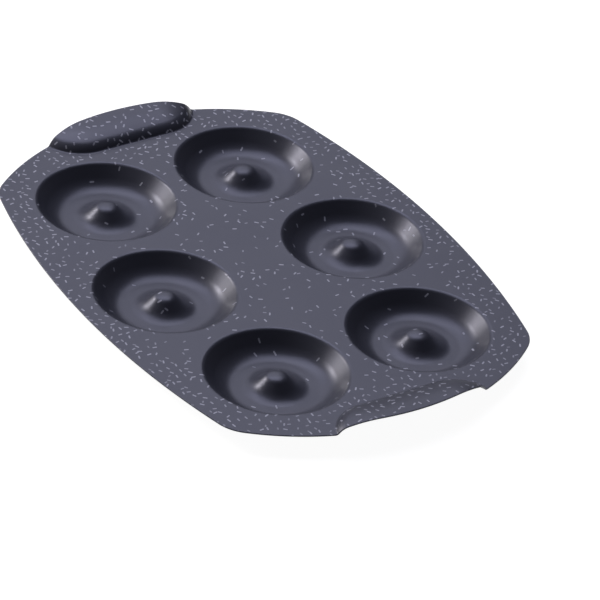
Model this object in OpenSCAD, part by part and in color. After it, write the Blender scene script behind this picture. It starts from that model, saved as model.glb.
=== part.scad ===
// Doughnut pan pressed from one coated steel sheet.
// Six ring cups hang from a flat top, and a raised grip is pressed in each end.
// X runs across the pan, Y along it and Z up. The cups stand on Z = 0.

/* [Sheet] */
// Thickness of the coated sheet
sheet_t = 0.8; // [0.6:0.1:1.6]

/* [Cups] */
// Width of a cup where its rim starts to bend down
cup_d = 77; // [68:1:90]
// Depth of a cup from the flat top to its floor
cup_depth = 10.5; // [8:0.5:13]
// Bend radius at the rim of a cup
rim_r = 3.2; // [1.7:0.1:4.5]
// Bend radius between the outer wall and the floor
trough_r = 14; // [6:0.5:15]
// Width of the flat ring that a cup stands on, between its post and its outer wall
floor_w = 3.5; // [1:0.1:7]

/* [Centre posts] */
// How far the top of a post lies under the flat top
post_drop = 2.6; // [0:0.2:4]
// Width of a post at its foot
post_foot_d = 36; // [26:0.5:40]
// Width of the flat top of a post
post_flat_d = 4.5; // [1:0.5:8]
// Bend radius round the top of a post
post_top_r = 6; // [3:0.5:8]
// Bend radius round the foot of a post
post_foot_r = 12.5; // [3:0.5:13.5]

/* [Layout] */
// Gap between the two cups at each end of the pan
end_gap = 7.8; // [5:0.2:14]
// Gap between the two cups in the middle of the pan
middle_gap = 37.2; // [20:0.2:44]
// Gap between a middle cup and the end cup beside it
row_gap = 9.4; // [5:0.2:14]
// Flat sheet left outside a middle cup at its narrowest
side_margin = 10.2; // [8:0.2:16]

/* [Outline] */
// Radius of the long, slightly bowed sides
side_r = 460; // [380:10:900]
// Radius of the rounded ends
end_r = 137; // [130:1:170]
// Radius of the four corners
corner_r = 22; // [6:1:30]

/* [Grips] */
// Flat sheet left between the end cups and the foot of a grip
grip_gap = 4; // [1.6:0.2:8]
// Depth of a grip from its foot to the outer edge at mid length
grip_w = 24.2; // [22:0.2:32]
// Length of a grip along its foot
grip_l = 93; // [84:1:114]
// Height of a grip above the flat top
grip_rise = 7.2; // [6:0.2:11]
// Corner radius of the foot of a grip, seen from above
grip_corner_r = 24; // [20:0.5:28]
// Width of the sloping wall of a grip, seen from above
grip_wall_run = 7; // [6:0.2:12]
// Radius of the slight dome of a grip
crown_r = 70; // [55:5:200]
// Bend radius along the shoulder of a grip
shoulder_r = 6; // [4:0.5:6]
// Bend radius along the foot of a grip
grip_foot_r = 1.8; // [0.5:0.1:3]

/* [Hidden] */
$fn = 96;
sheet_colour = "#55566b";

cup_r = cup_d / 2;
// Width of the outer wall from rim to floor, seen from above
wall_run = cup_r - floor_w - post_foot_d / 2;
// Half the spacing of the cups across the pan, in the end rows and in the middle row
end_x = (cup_d + end_gap) / 2;
middle_x = (cup_d + middle_gap) / 2;
// Distance of the end rows from the middle row
end_y = sqrt(pow(cup_d + row_gap, 2) - pow(middle_x - end_x, 2));
cups = [
    [-end_x, end_y], [end_x, end_y],
    [-middle_x, 0], [middle_x, 0],
    [-end_x, -end_y], [end_x, -end_y]
];

// Levels of the flat top, the cup floors and the tops of the posts
top_z = cup_depth + sheet_t;
post_z = top_z - post_drop;

grip_y = end_y + cup_r + grip_gap;
half_w = middle_x + cup_r + side_margin;
half_l = grip_y + grip_w;

// Centres of the side and end arcs, and of the corner arc that touches both
side_c = [half_w - side_r, 0];
end_c = [0, half_l - end_r];
corner_c = circles_meet(side_c, side_r - corner_r, end_c, end_r - corner_r);

grip_cx = grip_l / 2 - grip_corner_r;
grip_cy = grip_y + grip_corner_r;
// Bends are drawn in steps of this many degrees at most
bend_step = 6;
// The corner arcs stand this far proud, so that they cross the sides and ends cleanly
corner_proud = 0.01;
// The cups and grips run on this far into the flat top, which makes one sheet of them
lap = 0.5;
clear = 1;

function along(v) = v / norm(v);

// Upper right point where two circles meet
function circles_meet(a, ra, b, rb) =
    let (
        d = norm(b - a),
        u = along(b - a),
        s = (d * d + ra * ra - rb * rb) / (2 * d),
        h = sqrt(ra * ra - s * s)
    )
    a + s * u + h * [-u[1], u[0]] * (u[0] > u[1] ? 1 : -1);

// A wall goes run across and fall down between a bend out and a bend back.
// With both radii added together, this is the straight stretch left between the bends,
function wall_length(run, fall, radii) = sqrt(max(0, run * run + fall * fall - 2 * radii * fall));

// this is the angle that each bend turns through,
function wall_turn(run, fall, radii) =
    atan2(run, radii - fall) - atan2(wall_length(run, fall, radii), radii);

// and this is the largest that the radii can be.
function widest_radii(run, fall) = (run * run + fall * fall) / (2 * fall);

// Unit vectors along a heading and square to it, towards the top face
function ahead(a) = [cos(a), sin(a)];
function above(a) = [-sin(a), cos(a)];

// Points and headings along the top face of a run of sheet.
// A step is [length] for a straight stretch, or [radius, turn] for a bend, up when turn is positive.
function stations(steps, p = [0, 0], a = 0, i = 0) =
    i == len(steps) ? [[p, a]] :
    len(steps[i]) == 1 ?
        concat([[p, a]], stations(steps, p + steps[i][0] * ahead(a), a, i + 1)) :
        let (
            r = steps[i][0],
            turn = steps[i][1],
            side = sign(turn),
            centre = p + side * r * above(a),
            n = ceil(abs(turn) / bend_step),
            bend = [for (k = [0:n]) let (h = a + turn * k / n) [centre - side * r * above(h), h]]
        )
        concat([for (k = [0:n - 1]) bend[k]], stations(steps, bend[n][0], bend[n][1], i + 1));

// Section of the sheet, from the origin towards +X, with its top face along the run
module sheet_run(steps) {
    run = stations([for (s = steps) if (s[0] > 0) s]);
    last = len(run) - 1;
    polygon(concat(
        [for (s = run) s[0]],
        [for (k = [last:-1:0]) run[k][0] - sheet_t * above(run[k][1])]
    ));
}

// Outline of the whole pan: two bowed sides and two rounded ends, with rounded corners
module outline() {
    difference() {
        intersection() {
            translate(side_c) circle(side_r);
            translate(-side_c) circle(side_r);
            within_end();
            mirror([0, 1]) within_end();
        }
        for (mx = [0, 1], my = [0, 1]) mirror([mx, 0]) mirror([0, my]) translate(corner_c) corner_waste();
    }
}

// Everything on the inner side of the arc at one end
module within_end() {
    wide = half_w + clear;
    translate(end_c) circle(end_r);
    translate(end_c - [wide, 2 * half_l]) square(2 * [wide, half_l]);
}

// What lies outside the corner arc, between its two touching points
module corner_waste() {
    far = 3 * corner_r;
    from_side = along(corner_c - side_c);
    from_end = along(corner_c - end_c);
    difference() {
        polygon([[0, 0], far * from_side, far * along(from_side + from_end), far * from_end]);
        circle(corner_r + corner_proud);
    }
}

// Foot line of a grip, run out past the edge of the sheet
module grip_foot() {
    translate([-grip_cx, grip_y]) square([2 * grip_cx, grip_corner_r]);
    for (s = [-1, 1]) translate([s * grip_cx, grip_cy]) circle(grip_corner_r);
    translate([-grip_l / 2, grip_cy]) square([grip_l, grip_w]);
}

// The flat top with the cups and grips left open
module flat_top() {
    translate([0, 0, top_z - sheet_t]) linear_extrude(sheet_t) difference() {
        outline();
        for (c = cups) translate(c) circle(cup_r);
        for (my = [0, 1]) mirror([0, my]) grip_foot();
    }
}

// One ring cup with its centre post
module cup() {
    trough = min(trough_r, widest_radii(wall_run, cup_depth) - rim_r);
    wall = wall_turn(wall_run, cup_depth, rim_r + trough);
    post_rise = cup_depth - post_drop;
    post_run = (post_foot_d - post_flat_d) / 2;
    foot = min(post_foot_r, widest_radii(post_run, post_rise) - post_top_r);
    side = wall_turn(post_run, post_rise, post_top_r + foot);
    translate([0, 0, post_z]) rotate_extrude() sheet_run([
        [post_flat_d / 2],
        [post_top_r, -side],
        [wall_length(post_run, post_rise, post_top_r + foot)],
        [foot, side],
        [floor_w],
        [trough, wall],
        [wall_length(wall_run, cup_depth, rim_r + trough)],
        [rim_r, -wall],
        [lap]
    ]);
}

// Section of a grip from its crown out to its foot, the crown lengthened by extra
module grip_section(extra = 0) {
    // The dome of the crown ends at this slope, and the shoulder takes over from it
    crown_turn = asin((grip_corner_r - grip_wall_run) / crown_r);
    run = grip_wall_run + shoulder_r * sin(crown_turn);
    fall = grip_rise - (crown_r - shoulder_r) * (1 - cos(crown_turn));
    foot = min(grip_foot_r, widest_radii(run, fall) - shoulder_r);
    turn = wall_turn(run, fall, shoulder_r + foot);
    translate([-extra, 0]) sheet_run([
        [extra],
        [crown_r, -crown_turn],
        [shoulder_r, crown_turn - turn],
        [wall_length(run, fall, shoulder_r + foot)],
        [foot, turn],
        [lap]
    ]);
}

// A raised grip, open at the outer edge and trimmed to the outline
module grip() {
    intersection() {
        translate([0, grip_cy, top_z + grip_rise]) {
            translate([-grip_cx, 0, 0]) rotate([90, 0, -90]) mirror([0, 0, 1])
                linear_extrude(2 * grip_cx) grip_section(grip_w);
            for (mx = [0, 1]) mirror([mx, 0, 0]) translate([grip_cx, 0, 0]) {
                rotate([0, 0, -90]) rotate_extrude(angle = 90) grip_section();
                rotate([90, 0, 0]) mirror([0, 0, 1]) linear_extrude(grip_w) grip_section();
            }
        }
        translate([0, 0, top_z - sheet_t - clear]) linear_extrude(grip_rise + sheet_t + 2 * clear) outline();
    }
}

module pan() {
    color(sheet_colour) {
        flat_top();
        for (c = cups) translate(c) cup();
        for (my = [0, 1]) mirror([0, my, 0]) grip();
    }
}

pan();
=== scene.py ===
import math
import bpy
import numpy as np
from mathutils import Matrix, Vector, geometry


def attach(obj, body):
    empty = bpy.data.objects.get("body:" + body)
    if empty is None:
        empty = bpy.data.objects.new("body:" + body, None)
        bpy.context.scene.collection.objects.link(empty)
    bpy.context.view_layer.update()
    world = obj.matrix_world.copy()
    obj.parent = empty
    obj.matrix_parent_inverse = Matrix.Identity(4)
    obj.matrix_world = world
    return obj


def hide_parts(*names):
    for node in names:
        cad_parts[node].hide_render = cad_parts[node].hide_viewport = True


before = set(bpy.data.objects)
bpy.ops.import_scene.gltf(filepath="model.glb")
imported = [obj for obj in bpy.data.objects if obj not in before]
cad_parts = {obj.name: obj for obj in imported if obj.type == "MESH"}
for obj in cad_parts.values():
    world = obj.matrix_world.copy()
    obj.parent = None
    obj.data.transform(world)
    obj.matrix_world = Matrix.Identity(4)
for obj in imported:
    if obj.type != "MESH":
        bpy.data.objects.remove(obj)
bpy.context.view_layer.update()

# A doughnut pan: one pressed sheet with six ring cups and two raised grips.
# The sheet is drawn here as one fine mesh, in the place of the CAD node.
# Sizes in the dictionaries are in millimetres, and the mesh is made in metres.
mm = 0.001


def fromHex(code):
    # sRGB hex to the linear colour that a socket takes
    parts = [int(code[k:k + 2], 16) / 255 for k in (1, 3, 5)]
    return [v / 12.92 if v <= 0.04045 else ((v + 0.055) / 1.055) ** 2.4 for v in parts] + [1.0]


pan = {
    "sheet": 0.8,
    "cupWidth": 77, "cupDepth": 10.5,
    "rimBend": 3.2, "troughBend": 14, "floorWidth": 3.5,
    "postDrop": 2.6, "postFoot": 36, "postFlat": 4.5, "postBend": 6, "postFootBend": 12.5,
    "postDome": 14,                                         # degrees of slope where a post's domed top ends
    "endGap": 7.8, "middleGap": 37.2, "rowGap": 9.4, "sideMargin": 10.2,
    "sideRadius": 460, "endRadius": 137, "cornerRadius": 22,
    "gripGap": 4, "gripDepth": 24.2, "gripLength": 93, "gripRise": 7.2, "gripCorner": 24,
    "gripWallRun": 6.65, "crownRadius": 58, "shoulderBend": 10, "gripFootBend": 1.8,
    "edgeRound": 0.25,                                      # the sheared edge, softened by the coating
    "edgeSpare": 0.03,                                      # keeps that round inside the solid's edge
}

cupRadius = pan["cupWidth"] / 2
endX = (pan["cupWidth"] + pan["endGap"]) / 2
middleX = (pan["cupWidth"] + pan["middleGap"]) / 2
endY = math.sqrt((pan["cupWidth"] + pan["rowGap"]) ** 2 - (middleX - endX) ** 2)
cupCentres = [(sx * endX, sy * endY) for sx in (-1, 1) for sy in (-1, 1)]
cupCentres += [(-middleX, 0), (middleX, 0)]
topZ = pan["cupDepth"] + pan["sheet"]
gripY = endY + cupRadius + pan["gripGap"]
gripCentre = np.array([pan["gripLength"] / 2 - pan["gripCorner"], gripY + pan["gripCorner"]])
halfWidth = middleX + cupRadius + pan["sideMargin"]
halfLength = gripY + pan["gripDepth"]
sideCentre = np.array([halfWidth - pan["sideRadius"], 0.0])
endCentre = np.array([0.0, halfLength - pan["endRadius"]])
edgeInset = pan["edgeRound"] + pan["edgeSpare"]


def circlesMeet(a, ra, b, rb):
    # the upper right point where two circles meet
    gap = np.linalg.norm(b - a)
    u = (b - a) / gap
    s = (gap * gap + ra * ra - rb * rb) / (2 * gap)
    h = math.sqrt(ra * ra - s * s)
    ends = [a + s * u + k * h * np.array([-u[1], u[0]]) for k in (-1, 1)]
    return max(ends, key=lambda p: p[0] + p[1])


cornerCentre = circlesMeet(sideCentre, pan["sideRadius"] - pan["cornerRadius"],
                           endCentre, pan["endRadius"] - pan["cornerRadius"])


def wallBends(run, fall, radii):
    # a wall between two bends: the straight stretch left over, and the angle of each bend
    straight = math.sqrt(max(0.0, run * run + fall * fall - 2 * radii * fall))
    return straight, math.atan2(run, radii - fall) - math.atan2(straight, radii)


def widestRadii(run, fall):
    # the largest that the two radii can be together, with no straight stretch left
    return (run * run + fall * fall) / (2 * fall)


def layOut(height, steps):
    # a section laid out from its inner end: (length,) is straight, (radius, turn) a bend, up when positive
    x, z, heading, pieces = 0.0, height, 0.0, []
    for step in steps:
        if step[0] <= 0:
            continue
        if len(step) == 1:
            newX, newZ = x + step[0] * math.cos(heading), z + step[0] * math.sin(heading)
            pieces.append({"from": x, "to": newX, "z": z, "heading": heading})
            x, z = newX, newZ
            continue
        radius, turn = step
        side = math.copysign(1, turn)
        cx, cz = x - side * radius * math.sin(heading), z + side * radius * math.cos(heading)
        after = heading + turn
        newX, newZ = cx + side * radius * math.sin(after), cz - side * radius * math.cos(after)
        pieces.append({"from": x, "to": newX, "side": side, "radius": radius, "cx": cx, "cz": cz,
                       "heading": heading, "turn": turn})
        x, z, heading = newX, newZ, after
    return pieces


def bendAngle(piece, x):
    # the slope angle at each distance along a bend
    return np.arcsin(np.clip(piece["side"] * (x - piece["cx"]) / piece["radius"], -1, 1))


def sectionAt(pieces, x):
    # height and slope angle of the section at each distance
    z, slope = np.zeros_like(x), np.zeros_like(x)
    for piece in pieces:
        here = x >= piece["from"]
        if piece is not pieces[-1]:
            here &= x < piece["to"]
        if "radius" in piece:
            slope[here] = bendAngle(piece, x[here])
            z[here] = piece["cz"] - piece["side"] * piece["radius"] * np.cos(slope[here])
        else:
            slope[here] = piece["heading"]
            z[here] = piece["z"] + (x[here] - piece["from"]) * math.tan(piece["heading"])
    return z, slope


def sectionLength(pieces, x):
    # the length of sheet from the inner end to each distance, measured along the section
    length, before = np.zeros_like(x), 0.0
    for piece in pieces:
        here = x >= piece["from"] - drawing["tiny"]
        if "radius" in piece:
            whole = piece["radius"] * abs(piece["turn"])
            part = piece["radius"] * piece["side"] * (bendAngle(piece, x[here]) - piece["heading"])
        else:
            whole = (piece["to"] - piece["from"]) / math.cos(piece["heading"])
            part = (x[here] - piece["from"]) / math.cos(piece["heading"])
        length[here] = before + np.clip(part, 0, whole)
        before += whole
    return length


def cupSection():
    # from the middle of the post, down to the floor of the cup and up to its rim
    p = pan
    wallRun = cupRadius - p["floorWidth"] - p["postFoot"] / 2
    trough = min(p["troughBend"], widestRadii(wallRun, p["cupDepth"]) - p["rimBend"])
    wallLength, wallTurn = wallBends(wallRun, p["cupDepth"], p["rimBend"] + trough)
    rise = p["cupDepth"] - p["postDrop"]
    run = (p["postFoot"] - p["postFlat"]) / 2
    foot = min(p["postFootBend"], widestRadii(run, rise) - p["postBend"])
    sideLength, sideTurn = wallBends(run, rise, p["postBend"] + foot)
    # the top of the post is a shallow dome that runs into the bend round it
    domeTurn = math.radians(p["postDome"])
    domeRadius = p["postBend"] + p["postFlat"] / 2 / math.sin(domeTurn)
    lift = (domeRadius - p["postBend"]) * (1 - math.cos(domeTurn))
    return layOut(topZ - p["postDrop"] + lift, [
        (domeRadius, -domeTurn), (p["postBend"], domeTurn - sideTurn),
        (sideLength,), (foot, sideTurn), (p["floorWidth"],),
        (trough, wallTurn), (wallLength,), (p["rimBend"], -wallTurn)])


def gripSection():
    # from the crest of the dome out to the foot line
    p = pan
    crownTurn = math.asin((p["gripCorner"] - p["gripWallRun"]) / p["crownRadius"])
    run = p["gripWallRun"] + p["shoulderBend"] * math.sin(crownTurn)
    fall = p["gripRise"] - (p["crownRadius"] - p["shoulderBend"]) * (1 - math.cos(crownTurn))
    foot = min(p["gripFootBend"], widestRadii(run, fall) - p["shoulderBend"])
    wallLength, wallTurn = wallBends(run, fall, p["shoulderBend"] + foot)
    return layOut(topZ + p["gripRise"], [
        (p["crownRadius"], -crownTurn), (p["shoulderBend"], crownTurn - wallTurn),
        (wallLength,), (foot, wallTurn)])


cupPieces, gripPieces = cupSection(), gripSection()

drawing = {
    "bendStep": 4.5,                                        # degrees of bend between two rings of points
    "ringParts": 96,                                        # points in a ring
    "halfWithin": 14, "thirdWithin": 5,                     # a ring inside these radii has 1/2 or 1/3
    "sideStep": 3, "cornerStep": 1.2, "endStep": 2.4,       # between two points of the outline
    "gripStep": 1.3,                                        # between two points round a corner of a grip
    "gripBeyond": 2,                                        # how far the grips' lines run past the edge
    "edgeAngles": [30, 60, 90],                             # degrees, rows of points on each rounded edge
    "touch": 1e-5, "slack": 1e-3, "tiny": 1e-9,             # what counts as touching, inside, and nothing
}


def sectionRings(pieces):
    # the distances at which the mesh gets a ring: even steps of angle along each bend
    rings = [pieces[0]["from"]]
    for piece in pieces:
        if "radius" in piece:
            count = max(1, math.ceil(abs(piece["turn"]) / math.radians(drawing["bendStep"])))
            for k in range(1, count):
                angle = piece["heading"] + piece["turn"] * k / count
                rings.append(piece["cx"] + piece["side"] * piece["radius"] * math.sin(angle))
        rings.append(piece["to"])
    return rings


def pointsRound(centre, radius, angles):
    return np.column_stack([centre[0] + radius * np.cos(angles), centre[1] + radius * np.sin(angles)])


def arc(centre, radius, start, end, spacing):
    count = max(2, math.ceil(abs(end - start) * radius / spacing))
    return pointsRound(centre, radius, np.linspace(start, end, count + 1))


def outlineLoop():
    # two bowed sides, two rounded ends and four corners, drawn in by the rounding of the edge
    sideTurn = math.atan2(*(cornerCentre - sideCentre)[::-1])
    endTurn = math.atan2(*(cornerCentre - endCentre)[::-1])
    quarter = np.vstack([
        arc(sideCentre, pan["sideRadius"] - edgeInset, 0, sideTurn, drawing["sideStep"])[:-1],
        arc(cornerCentre, pan["cornerRadius"] - edgeInset, sideTurn, endTurn, drawing["cornerStep"])[:-1],
        arc(endCentre, pan["endRadius"] - edgeInset, endTurn, math.pi / 2, drawing["endStep"])])
    back = quarter[::-1]
    quarters = [quarter, back * [-1, 1], quarter * [-1, -1], back * [1, -1]]
    return np.vstack([part[:-1] for part in quarters])


def besideArcs(quadrant):
    # from the centre of the side and of the end to each point, and whether the point lies beside that arc
    fromSide, fromEnd = quadrant - sideCentre, quadrant - endCentre
    toSide, toEnd = cornerCentre - sideCentre, cornerCentre - endCentre
    onSide = toSide[0] * fromSide[:, 1] - toSide[1] * fromSide[:, 0] <= 0
    onEnd = toEnd[0] * fromEnd[:, 1] - toEnd[1] * fromEnd[:, 0] >= 0
    return fromSide, fromEnd, onSide, onEnd


def outwardAt(points):
    # the level direction out of the outline, from the centre of the arc that a point lies on
    quadrant = np.abs(points)
    signs = np.where(points < 0, -1.0, 1.0)
    fromSide, fromEnd, onSide, onEnd = besideArcs(quadrant)
    out = quadrant - cornerCentre
    out[onSide], out[onEnd] = fromSide[onSide], fromEnd[onEnd]
    return out / np.linalg.norm(out, axis=1)[:, None] * signs


def contourLines():
    # level lines of the cups and grips, which the mesh follows
    d, lines = drawing, []
    for centre in cupCentres:
        for radius in sectionRings(cupPieces)[1:]:
            fewer = 3 if radius < d["thirdWithin"] else 2 if radius < d["halfWithin"] else 1
            count = d["ringParts"] // fewer
            lines.append((pointsRound(centre, radius, np.arange(count) * 2 * math.pi / count), True))
    beyond = halfLength + d["gripBeyond"]
    for reach in sectionRings(gripPieces):
        half = np.array([[gripCentre[0] + reach, beyond], [gripCentre[0] + reach, gripCentre[1]]])
        if reach > 0:
            half = np.vstack([half, arc(gripCentre, reach, 0, -math.pi / 2, d["gripStep"])[1:]])
        line = np.vstack([half, half[::-1] * [-1, 1]])
        lines += [(line, False), (line * [1, -1], False)]
    return lines


def surfaceAt(points):
    # height and normal of the top face at each point, and where the point lay before the sheet was pressed
    z = np.full(len(points), topZ)
    normal = np.tile([0.0, 0.0, 1.0], (len(points), 1))
    unpressed = points.copy()

    def take(here, away, distance, pieces):
        reach = distance[here]
        height, slope = sectionAt(pieces, reach)
        unit = away[here] / np.maximum(reach, drawing["tiny"])[:, None]
        z[here] = height
        normal[here] = np.column_stack([-unit * np.sin(slope)[:, None], np.cos(slope)])
        # the pressing stretched the sheet evenly from the middle out to the rim
        end = pieces[-1]["to"]
        before = sectionLength(pieces, reach) * end / sectionLength(pieces, np.array([end]))[0]
        unpressed[here] += unit * (before - reach)[:, None]

    for centre in cupCentres:
        away = points - centre
        distance = np.linalg.norm(away, axis=1)
        take(distance < cupRadius - drawing["touch"], away, distance, cupPieces)
    # on a grip the distance runs from its crest, along the pan or out of a corner
    signs = np.where(points < 0, -1.0, 1.0)
    quadrant = np.abs(points)
    away = quadrant - gripCentre
    away = np.column_stack([np.maximum(away[:, 0], 0), np.minimum(away[:, 1], 0)])
    distance = np.linalg.norm(away, axis=1)
    onGrip = (quadrant[:, 1] > gripY) & (distance < pan["gripCorner"] - drawing["touch"])
    take(onGrip, away * signs, distance, gripPieces)
    return z, normal, unpressed


def flatNet():
    # triangles that fill the outline and follow the level lines, seen from above
    points = [tuple(p) for p in outlineLoop()]
    edges = [(k, (k + 1) % len(points)) for k in range(len(points))]
    for line, closed in contourLines():
        first = len(points)
        points += [tuple(p) for p in line]
        edges += [(first + k, first + k + 1) for k in range(len(line) - 1)]
        if closed:
            edges.append((first + len(line) - 1, first))
    points += [tuple(c) for c in cupCentres]
    net = geometry.delaunay_2d_cdt([Vector(p) for p in points], edges, [], 0, drawing["touch"])
    flat = np.array([tuple(p) for p in net[0]])
    faces = np.array([f for f in net[2]])
    # a face belongs to the sheet when its middle lies inside the outline
    quadrant = np.abs(flat[faces].mean(axis=1))
    fromSide, fromEnd, onSide, onEnd = besideArcs(quadrant)
    spare = drawing["slack"] - edgeInset
    inside = np.linalg.norm(fromSide, axis=1) < pan["sideRadius"] + spare
    inside &= np.linalg.norm(fromEnd, axis=1) < pan["endRadius"] + spare
    fromCorner = np.linalg.norm(quadrant - cornerCentre, axis=1)
    inside &= onSide | onEnd | (fromCorner < pan["cornerRadius"] + spare)
    a, b, c = (flat[faces[:, k]] for k in range(3))
    area = (b[:, 0] - a[:, 0]) * (c[:, 1] - a[:, 1]) - (b[:, 1] - a[:, 1]) * (c[:, 0] - a[:, 0])
    faces = faces[inside & (np.abs(area) > drawing["tiny"])]
    used = np.unique(faces)
    renumber = np.full(len(flat), -1)
    renumber[used] = np.arange(len(used))
    return flat[used], renumber[faces]


def rimOf(faces):
    # the points along the edge of the net, in order
    following = {}
    sides = {(int(f[k]), int(f[(k + 1) % 3])) for f in faces for k in range(3)}
    for start, end in sides:
        if (end, start) not in sides:
            following[start] = end
    rim, at = [], next(iter(following))
    while not rim or at != rim[0]:
        rim.append(at)
        at = following[at]
    assert len(rim) == len(following), "the outline has to be one loop"
    return np.array(rim)


def edgeRows(flat, top, under, normal, rim):
    # the edge: two rounded corners with a short straight cut between them, as rows of points and normals
    out = np.column_stack([outwardAt(flat[rim]), np.zeros(len(rim))])
    up = normal[rim]
    out -= (out * up).sum(axis=1)[:, None] * up
    out /= np.linalg.norm(out, axis=1)[:, None]
    rows, rowNormals = [], []
    for face, side in ((top, 1), (under, -1)):
        for angle in np.radians(drawing["edgeAngles"][::side]):
            across, down = math.sin(angle), 1 - math.cos(angle)
            rows.append(face[rim] + pan["edgeRound"] * (across * out - side * down * up))
            rowNormals.append(across * out + side * math.cos(angle) * up)
    return rows, rowNormals


def buildSheet():
    flat, faces = flatNet()
    z, normal, unpressed = surfaceAt(flat)
    top = np.column_stack([flat, z])
    under = top - pan["sheet"] * normal
    rim = rimOf(faces)
    edge, edgeNormals = edgeRows(flat, top, under, normal, rim)
    vertices = np.vstack([top, under] + edge)
    normals = np.vstack([normal, -normal] + edgeNormals)
    # the faces: the top, the underside, and strips round the edge from one to the other
    count, ring = len(top), len(rim)
    rows = [rim] + [2 * count + k * ring + np.arange(ring) for k in range(len(edge))] + [rim + count]
    polygons = [tuple(int(v) for v in f) for f in faces]
    polygons += [tuple(int(v) + count for v in f[::-1]) for f in faces]
    for upper, lower in zip(rows, rows[1:]):
        for k in range(ring):
            n = (k + 1) % ring
            polygons.append((int(upper[k]), int(lower[k]), int(lower[n]), int(upper[n])))
    mesh = bpy.data.meshes.new("pressedSheet")
    mesh.from_pydata((vertices * mm).tolist(), [], polygons)
    mesh.validate(verbose=False)
    mesh.polygons.foreach_set("use_smooth", [True] * len(mesh.polygons))
    # the flecked coat ends where the upper round of the edge does
    flecked, strips = len(drawing["edgeAngles"]), len(rows) - 1
    kinds = [0] * len(faces) + [1] * len(faces)
    kinds += [0] * (flecked * ring) + [1] * ((strips - flecked) * ring)
    mesh.polygons.foreach_set("material_index", kinds)
    # the flecks are laid out on the sheet as it was before it was pressed
    places = np.vstack([unpressed, unpressed] + [unpressed[rim]] * len(edge))
    places = np.column_stack([places, np.zeros(len(places))])
    layer = mesh.attributes.new("unpressedPlace", "FLOAT_VECTOR", "POINT")
    layer.data.foreach_set("vector", places.ravel())
    mesh.normals_split_custom_set_from_vertices(normals.tolist())
    mesh.update()
    sheet = bpy.data.objects.new("pressedSheet", mesh)
    bpy.context.scene.collection.objects.link(sheet)
    print("sheet:", len(vertices), "vertices,", 2 * len(faces) + 2 * ring * strips, "triangles")
    return sheet


sheet = buildSheet()

finish = {
    "ground": "#3a3b46",                                    # slate, before the sheen is added
    "groundDark": "#35363f",
    "fleck": "#999aa8",
    "under": "#38383f",                                     # the plain coat of the underside
    "roughness": 0.33, "roughnessSpread": 0.03,
    "ior": 1.5,
    "sheen": "#e2e4ff",                                     # fine mica gives the gloss a blue cast
    "fleckSpacing": 4.4,                                    # between flecks where they are dense
    "fleckScatter": 0.78,                                   # 0 is a plain grid, 1 is fully scattered
    "fleckLength": 2.25, "fleckWidth": 0.82, "fleckSoftness": 0.07,
    "shortest": 0.65, "longest": 1.25,                      # of the length between a fleck's round ends
    "faintest": 0.45, "strongest": 1.0,                     # of a fleck's ink
    "bandWidth": 22, "endBand": 37,                         # of dense flecks along the sides and ends
    "bandInner": 1.15, "bandOuter": 0.85,                   # of the width, where the band thins out
    "denseShare": 0.82, "sparseShare": 0.26,                # share of the places that hold a fleck
    "cupShare": 0.11, "rimSpare": 0.5,                      # the same in a cup, from just inside its rim
    "grain": 0.35,                                          # sprayed grain, drawn coarser so that it shows
    "ripple": 2.4,                                          # the soft ripple where the coat flowed
    "cloud": 30,                                            # faint clouds of colour and gloss
    "noiseLow": 0.3, "noiseHigh": 0.7,                      # what the noise mostly keeps to
    "speckDark": 0.88, "speckLight": 1.12,                  # how the grain shades the colour
    "grainHeight": 0.12,                                    # of the grain against the ripple
    "bump": 0.12, "bumpHeight": 0.02,
}


def addNode(tree, kind, settings=None, links=None):
    # adds a node; links holds a socket to join or a value to set, by input name or number
    item = tree.nodes.new(kind)
    for name, value in (settings or {}).items():
        setattr(item, name, value)
    for name, value in (links or {}).items():
        socket = item.inputs[name]
        if isinstance(value, bpy.types.NodeSocket):
            tree.links.new(value, socket)
        else:
            socket.default_value = value
    return item


def newMaterial(name):
    material = bpy.data.materials.new(name)
    material.use_nodes = True
    material.node_tree.nodes.clear()
    return material, material.node_tree


def fleckShare(tree, middle):
    # dense along the edge and on the grips, sparse between the cups, and fewest in the cups
    f = finish
    quadrant = addNode(tree, "ShaderNodeVectorMath", {"operation": "ABSOLUTE"}, {0: middle}).outputs[0]
    fromSide, fromEnd, fromEndCup, fromMiddleCup = (
        addNode(tree, "ShaderNodeVectorMath", {"operation": "DISTANCE"},
                {0: quadrant, 1: (centre[0], centre[1], 0)}).outputs["Value"]
        for centre in (sideCentre, endCentre, (endX, endY), (middleX, 0)))
    wider = f["endBand"] - f["bandWidth"]
    toSide, toEnd = (
        addNode(tree, "ShaderNodeMath", {"operation": "SUBTRACT"}, {0: float(radius), 1: span}).outputs[0]
        for radius, span in ((pan["sideRadius"], fromSide), (pan["endRadius"] - wider, fromEnd)))
    toEdge = addNode(tree, "ShaderNodeMath", {"operation": "MINIMUM"}, {0: toSide, 1: toEnd})
    outer, inner = f["bandWidth"] * f["bandOuter"], f["bandWidth"] * f["bandInner"]
    thinning = addNode(tree, "ShaderNodeMapRange", {},
                       {0: toEdge.outputs[0], 1: outer, 2: inner, 3: f["denseShare"], 4: f["sparseShare"]})
    share = thinning.outputs[0]
    for span in (fromEndCup, fromMiddleCup):
        inCup = addNode(tree, "ShaderNodeMath", {"operation": "LESS_THAN"},
                        {0: span, 1: cupRadius - f["rimSpare"]})
        share = addNode(tree, "ShaderNodeMix", {},
                        {0: inCup.outputs[0], 2: share, 3: f["cupShare"]}).outputs[0]
    return share


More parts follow.
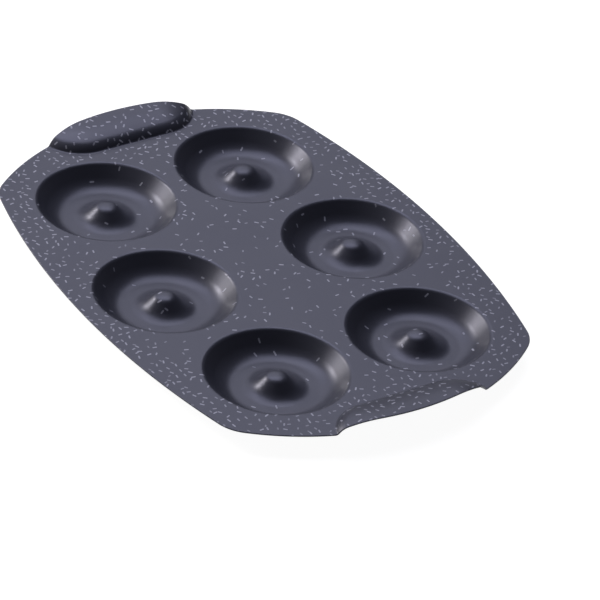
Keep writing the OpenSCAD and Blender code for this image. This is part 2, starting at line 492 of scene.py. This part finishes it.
def fleckMask(tree):
    # short dashes with round ends, one in each cell of a Voronoi net laid over the unpressed sheet
    f = finish
    place = addNode(tree, "ShaderNodeAttribute", {"attribute_name": "unpressedPlace"}).outputs["Vector"]
    net = addNode(tree, "ShaderNodeTexVoronoi", {"voronoi_dimensions": "2D", "feature": "F1"},
                  {"Vector": place, "Scale": 1 / f["fleckSpacing"], "Randomness": f["fleckScatter"]})
    middle = net.outputs["Position"]
    chances = addNode(tree, "ShaderNodeSeparateColor", {}, {"Color": net.outputs["Color"]})
    turning, sizing, keeping = chances.outputs
    away = addNode(tree, "ShaderNodeVectorMath", {"operation": "SUBTRACT"}, {0: place, 1: middle})
    angle = addNode(tree, "ShaderNodeMath", {"operation": "MULTIPLY"}, {0: turning, 1: math.pi})
    turned = addNode(tree, "ShaderNodeVectorRotate", {"rotation_type": "Z_AXIS"},
                     {"Vector": away.outputs[0], "Angle": angle.outputs[0]})
    parts = addNode(tree, "ShaderNodeSeparateXYZ", {}, {0: turned.outputs[0]})
    # the distance from the line between the two round ends
    straight = (f["fleckLength"] - f["fleckWidth"]) / 2
    reach = addNode(tree, "ShaderNodeMapRange", {},
                    {0: sizing, 3: straight * f["shortest"], 4: straight * f["longest"]})
    along = addNode(tree, "ShaderNodeMath", {"operation": "ABSOLUTE"}, {0: parts.outputs[0]})
    past = addNode(tree, "ShaderNodeMath", {"operation": "SUBTRACT"},
                   {0: along.outputs[0], 1: reach.outputs[0]})
    clipped = addNode(tree, "ShaderNodeMath", {"operation": "MAXIMUM"}, {0: past.outputs[0], 1: 0.0})
    joined = addNode(tree, "ShaderNodeCombineXYZ", {}, {0: clipped.outputs[0], 1: parts.outputs[1]})
    distance = addNode(tree, "ShaderNodeVectorMath", {"operation": "LENGTH"}, {0: joined.outputs[0]})
    halfWide, soft = f["fleckWidth"] / 2, f["fleckSoftness"]
    dash = addNode(tree, "ShaderNodeMapRange", {"interpolation_type": "SMOOTHSTEP"},
                   {0: distance.outputs["Value"], 1: halfWide - soft, 2: halfWide + soft, 3: 1.0, 4: 0.0})
    kept = addNode(tree, "ShaderNodeMath", {"operation": "LESS_THAN"},
                   {0: keeping, 1: fleckShare(tree, middle)})
    mask = addNode(tree, "ShaderNodeMath", {"operation": "MULTIPLY"},
                   {0: dash.outputs[0], 1: kept.outputs[0]})
    # the longer flecks carry more ink than the short ones
    ink = addNode(tree, "ShaderNodeMapRange", {}, {0: sizing, 3: f["faintest"], 4: f["strongest"]})
    inked = addNode(tree, "ShaderNodeMath", {"operation": "MULTIPLY"},
                    {0: mask.outputs[0], 1: ink.outputs[0]})
    return inked.outputs[0]


def coatMaterial(name, flecked):
    # Non-stick coat, sprayed and baked on the sheet: a satin slate ground that takes soft, broad lights.
    # On the top face pale flecks are printed before the last clear coat, so they share its sheen.
    f = finish
    material, tree = newMaterial(name)
    where = addNode(tree, "ShaderNodeTexCoord")
    place = addNode(tree, "ShaderNodeVectorMath", {"operation": "SCALE"},
                    {0: where.outputs["Object"], "Scale": 1 / mm}).outputs[0]
    fine, broad, cloud = (
        addNode(tree, "ShaderNodeTexNoise", {"noise_dimensions": "3D"},
                {"Vector": place, "Scale": 1 / size, "Detail": detail}).outputs["Fac"]
        for size, detail in ((f["grain"], 2.0), (f["ripple"], 1.0), (f["cloud"], 2.0)))
    ground = fromHex(f["ground"] if flecked else f["under"])
    darker = fromHex(f["groundDark"] if flecked else f["under"])
    colour = addNode(tree, "ShaderNodeMix", {"data_type": "RGBA"}, {0: cloud, 6: darker, 7: ground})
    speck = addNode(tree, "ShaderNodeMapRange", {},
                    {0: fine, 1: f["noiseLow"], 2: f["noiseHigh"], 3: f["speckDark"], 4: f["speckLight"]})
    colour = addNode(tree, "ShaderNodeVectorMath", {"operation": "SCALE"},
                     {0: colour.outputs[2], "Scale": speck.outputs[0]}).outputs[0]
    if flecked:
        colour = addNode(tree, "ShaderNodeMix", {"data_type": "RGBA"},
                         {0: fleckMask(tree), 6: colour, 7: fromHex(f["fleck"])}).outputs[2]
    # the grain and the ripple stand up a little
    height = addNode(tree, "ShaderNodeMath", {"operation": "MULTIPLY_ADD"},
                     {0: fine, 1: f["grainHeight"], 2: broad})
    bump = addNode(tree, "ShaderNodeBump", {},
                   {"Height": height.outputs[0], "Strength": f["bump"], "Distance": f["bumpHeight"] * mm})
    glossy, matt = f["roughness"] - f["roughnessSpread"], f["roughness"] + f["roughnessSpread"]
    roughness = addNode(tree, "ShaderNodeMapRange", {},
                        {0: cloud, 1: f["noiseLow"], 2: f["noiseHigh"], 3: glossy, 4: matt})
    coat = addNode(tree, "ShaderNodeBsdfPrincipled", {},
                   {"Base Color": colour, "Roughness": roughness.outputs[0], "IOR": f["ior"],
                    "Specular Tint": fromHex(f["sheen"]), "Normal": bump.outputs[0]})
    addNode(tree, "ShaderNodeOutputMaterial", {}, {"Surface": coat.outputs[0]})
    return material


sheet.data.materials.append(coatMaterial("sprayedNonStickFlecked", True))
sheet.data.materials.append(coatMaterial("sprayedNonStickPlain", False))
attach(sheet, "root")
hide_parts("pan")
print("finish made")

studio = {
    "floorReach": 8,                                        # m
    "floorWhite": "#ffffff",
    "shadowShare": 0.26,                                    # how much of the shadow the white floor keeps
    "whiteness": 1.28,                                      # brings the open floor up to plain white
    "backdrop": "#ffffff", "backdropStrength": 1.0,         # seen by the camera only
    "ambientColour": "#f4f6ff", "ambient": 0.05,
}


def buildFloor():
    mesh = bpy.data.meshes.new("floor")
    reach = studio["floorReach"]
    corners = [(-reach, -reach, 0), (reach, -reach, 0), (reach, reach, 0), (-reach, reach, 0)]
    mesh.from_pydata(corners, [], [(0, 1, 2, 3)])
    floor = bpy.data.objects.new("floor", mesh)
    bpy.context.scene.collection.objects.link(floor)
    # matt white card; the camera and the sheen see it mostly as plain white, with part of the shadow kept
    material, tree = newMaterial("mattWhiteCard")
    card = addNode(tree, "ShaderNodeBsdfDiffuse", {}, {"Color": fromHex(studio["floorWhite"])})
    white = addNode(tree, "ShaderNodeEmission", {},
                    {"Color": fromHex(studio["floorWhite"]), "Strength": studio["whiteness"]})
    rays = addNode(tree, "ShaderNodeLightPath")
    seen = addNode(tree, "ShaderNodeMath", {"operation": "MAXIMUM"},
                   {0: rays.outputs["Is Camera Ray"], 1: rays.outputs["Is Glossy Ray"]})
    share = addNode(tree, "ShaderNodeMath", {"operation": "MULTIPLY"},
                    {0: seen.outputs[0], 1: 1 - studio["shadowShare"]})
    mixed = addNode(tree, "ShaderNodeMixShader", {},
                    {0: share.outputs[0], 1: card.outputs[0], 2: white.outputs[0]})
    addNode(tree, "ShaderNodeOutputMaterial", {}, {"Surface": mixed.outputs[0]})
    mesh.materials.append(material)


def buildWorld():
    world = bpy.data.worlds.new("studio")
    bpy.context.scene.world = world
    world.use_nodes = True
    tree = world.node_tree
    tree.nodes.clear()
    rays = addNode(tree, "ShaderNodeLightPath")
    dim = addNode(tree, "ShaderNodeBackground", {},
                  {"Color": fromHex(studio["ambientColour"]), "Strength": studio["ambient"]})
    white = addNode(tree, "ShaderNodeBackground", {},
                    {"Color": fromHex(studio["backdrop"]), "Strength": studio["backdropStrength"]})
    mixed = addNode(tree, "ShaderNodeMixShader", {},
                    {0: rays.outputs["Is Camera Ray"], 1: dim.outputs[0], 2: white.outputs[0]})
    addNode(tree, "ShaderNodeOutputWorld", {}, {"Surface": mixed.outputs[0]})


lamps = {
    # name: direction from the pan, distance m, width m, height m, radiance, colour
    "keySoftbox": ((-0.515, 0.778, 0.358), 1.5, 1.0, 0.8, 4.0, "#fffaf4"),
    "keyCore": ((-0.453, 0.754, 0.476), 1.38, 0.30, 0.24, 22.0, "#fffaf4"),
    "backPanel": ((0.173, 0.723, 0.669), 2.4, 2.4, 1.6, 1.5, "#f0f1ff"),
    "lowPanel": ((0.26, 0.95, 0.176), 2.4, 2.8, 0.75, 0.2, "#f0f1ff"),
    "overhead": ((0.135, 0.384, 0.914), 2.2, 1.8, 1.2, 3.0, "#f0f1ff"),
}


def buildLamps():
    for name, (direction, distance, width, height, radiance, colour) in lamps.items():
        light = bpy.data.lights.new(name, "AREA")
        light.shape, light.size, light.size_y = "RECTANGLE", width, height
        light.energy = radiance * math.pi * width * height      # watts
        light.color = fromHex(colour)[:3]
        lamp = bpy.data.objects.new(name, light)
        toward = Vector(direction).normalized()
        lamp.location = toward * distance
        lamp.rotation_euler = toward.to_track_quat("Z", "Y").to_euler()
        bpy.context.scene.collection.objects.link(lamp)


view = {
    "place": (-1.10536, -1.60843, 1.3168),                  # m
    "turn": (55.6866, -4.5872, -32.0255),                   # degrees
    "lens": 272.39, "sensor": 36,                           # mm
    "farthest": 50,                                         # m
}


def buildCamera():
    data = bpy.data.cameras.new("camera")
    data.lens, data.sensor_width, data.sensor_fit = view["lens"], view["sensor"], "HORIZONTAL"
    data.clip_end = view["farthest"]
    camera = bpy.data.objects.new("camera", data)
    camera.location = view["place"]
    camera.rotation_euler = [math.radians(v) for v in view["turn"]]
    bpy.context.scene.collection.objects.link(camera)
    bpy.context.scene.camera = camera


buildFloor()
buildWorld()
buildLamps()
buildCamera()
bpy.context.scene.view_settings.view_transform = "Standard"
print("studio ready")
